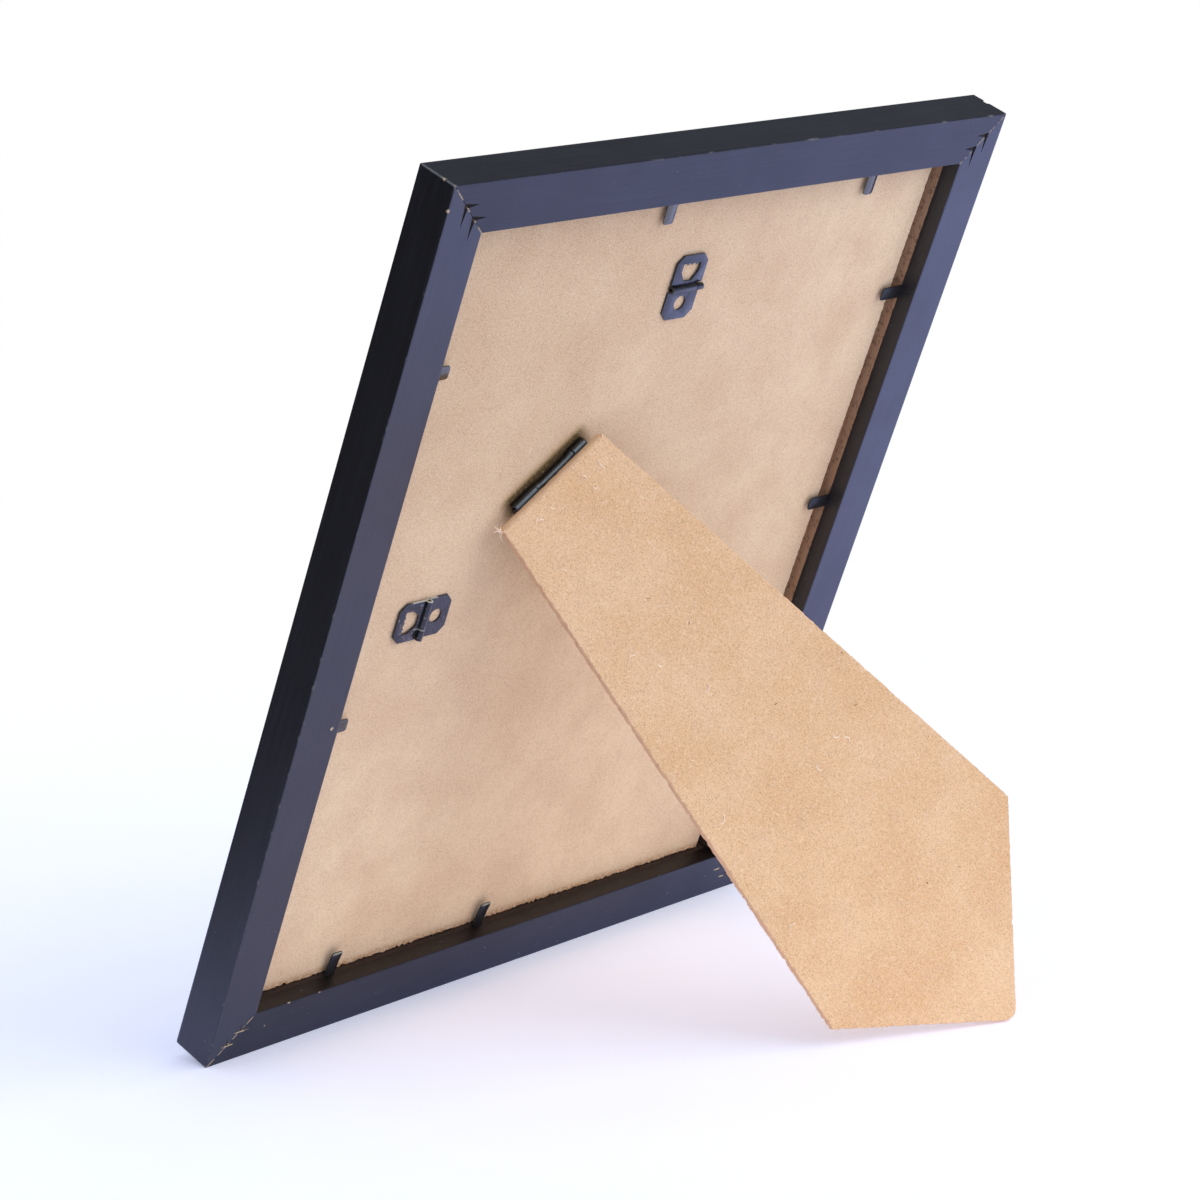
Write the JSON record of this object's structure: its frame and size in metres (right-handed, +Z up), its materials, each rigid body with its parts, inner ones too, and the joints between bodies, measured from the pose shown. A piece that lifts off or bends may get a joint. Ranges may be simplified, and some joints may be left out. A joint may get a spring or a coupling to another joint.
{
  "type": "easel back photo frame",
  "caption": "Picture frame with mitred black rails, glass, fibreboard back, bendable tabs, hinged toothed hangers and a folding five-sided strut.",
  "frame": {"origin": "centre of the bounding box's bottom face, on the surface the frame stands on", "axes": "+Z up, the picture faces -Y and the open strut reaches towards +Y; +X is to the left seen from behind"},
  "size_m": [0.239, 0.1708, 0.2702],
  "materials": {
    "black_foil": "black painted wood, satin",
    "bright_steel": "plain wire nails, dull",
    "clear_glass": "clear, polished",
    "print_paper": "matte print paper",
    "hardboard": "raw fibreboard, matte",
    "strut_fibreboard": "raw fibreboard, matte",
    "black_hardware": "black lacquered steel, satin"
  },
  "bodies": {
    "frame": {"rail_top": "black_foil", "rail_bottom": "black_foil", "rail_left": "black_foil", "rail_right": "black_foil", "corner_nails": "bright_steel", "glass_pane": "clear_glass", "picture_insert": "print_paper", "back_board": "hardboard", "tab_shanks": "black_hardware", "strut_board_leaf": "black_hardware", "strut_hinge_pin": "black_hardware", "board_rivets": "black_hardware", "top_hanger_plate": "black_hardware", "top_hanger_pin": "black_hardware", "side_hanger_plate": "black_hardware", "side_hanger_pin": "black_hardware"},
    "strut": {"strut": "strut_fibreboard", "strut_leaf": "black_hardware", "strut_rivets": "black_hardware"},
    "top_hanger_loop": {"top_hanger_loop": "black_hardware"},
    "side_hanger_loop": {"side_hanger_loop": "black_hardware"},
    "tab_top_1": {"tab_top_1": "black_hardware"},
    "tab_top_2": {"tab_top_2": "black_hardware"},
    "tab_bottom_1": {"tab_bottom_1": "black_hardware"},
    "tab_bottom_2": {"tab_bottom_2": "black_hardware"},
    "tab_left_1": {"tab_left_1": "black_hardware"},
    "tab_left_2": {"tab_left_2": "black_hardware"},
    "tab_right_1": {"tab_right_1": "black_hardware"},
    "tab_right_2": {"tab_right_2": "black_hardware"}
  },
  "joints": [
    {"name": "strut_fold", "type": "hinge", "parent": "frame", "child": "strut", "pos_m": [0.03878, -0.00496, 0.17192], "axis": [-0.7547, 0.2566, 0.6038], "range_deg": [0, 42]},
    {"name": "top_hanger_flip", "type": "hinge", "parent": "frame", "child": "top_hanger_loop", "pos_m": [0.0027, 0.01641, 0.22363], "axis": [-1, 0, 0], "range_deg": [0, 175]},
    {"name": "side_hanger_flip", "type": "hinge", "parent": "frame", "child": "side_hanger_loop", "pos_m": [0.0744, -0.02183, 0.13361], "axis": [0, 0.3911, 0.9204], "range_deg": [0, 175]},
    {"name": "tab_top_1_bend", "type": "hinge", "parent": "frame", "child": "tab_top_1", "pos_m": [0.0208, 0.02875, 0.25209], "axis": [1, 0, 0], "range_deg": [0, 80]},
    {"name": "tab_top_2_bend", "type": "hinge", "parent": "frame", "child": "tab_top_2", "pos_m": [-0.06926, 0.02875, 0.25209], "axis": [1, 0, 0], "range_deg": [0, 80]},
    {"name": "tab_bottom_1_bend", "type": "hinge", "parent": "frame", "child": "tab_bottom_1", "pos_m": [0.0701, -0.07114, 0.01698], "axis": [-1, 0, 0], "range_deg": [0, 80]},
    {"name": "tab_bottom_2_bend", "type": "hinge", "parent": "frame", "child": "tab_bottom_2", "pos_m": [0.00603, -0.07114, 0.01698], "axis": [-1, 0, 0], "range_deg": [0, 80]},
    {"name": "tab_left_1_bend", "type": "hinge", "parent": "frame", "child": "tab_left_1", "pos_m": [0.10322, -0.03366, 0.10521], "axis": [0, -0.3911, -0.9204], "range_deg": [0, 80]},
    {"name": "tab_left_2_bend", "type": "hinge", "parent": "frame", "child": "tab_left_2", "pos_m": [0.10322, 0.01117, 0.2107], "axis": [0, -0.3911, -0.9204], "range_deg": [0, 80]},
    {"name": "tab_right_1_bend", "type": "hinge", "parent": "frame", "child": "tab_right_1", "pos_m": [-0.10322, -0.01838, 0.14116], "axis": [0, 0.3911, 0.9204], "range_deg": [0, 80]},
    {"name": "tab_right_2_bend", "type": "hinge", "parent": "frame", "child": "tab_right_2", "pos_m": [-0.10322, 0.01097, 0.21023], "axis": [0, 0.3911, 0.9204], "range_deg": [0, 80]}
  ]
}
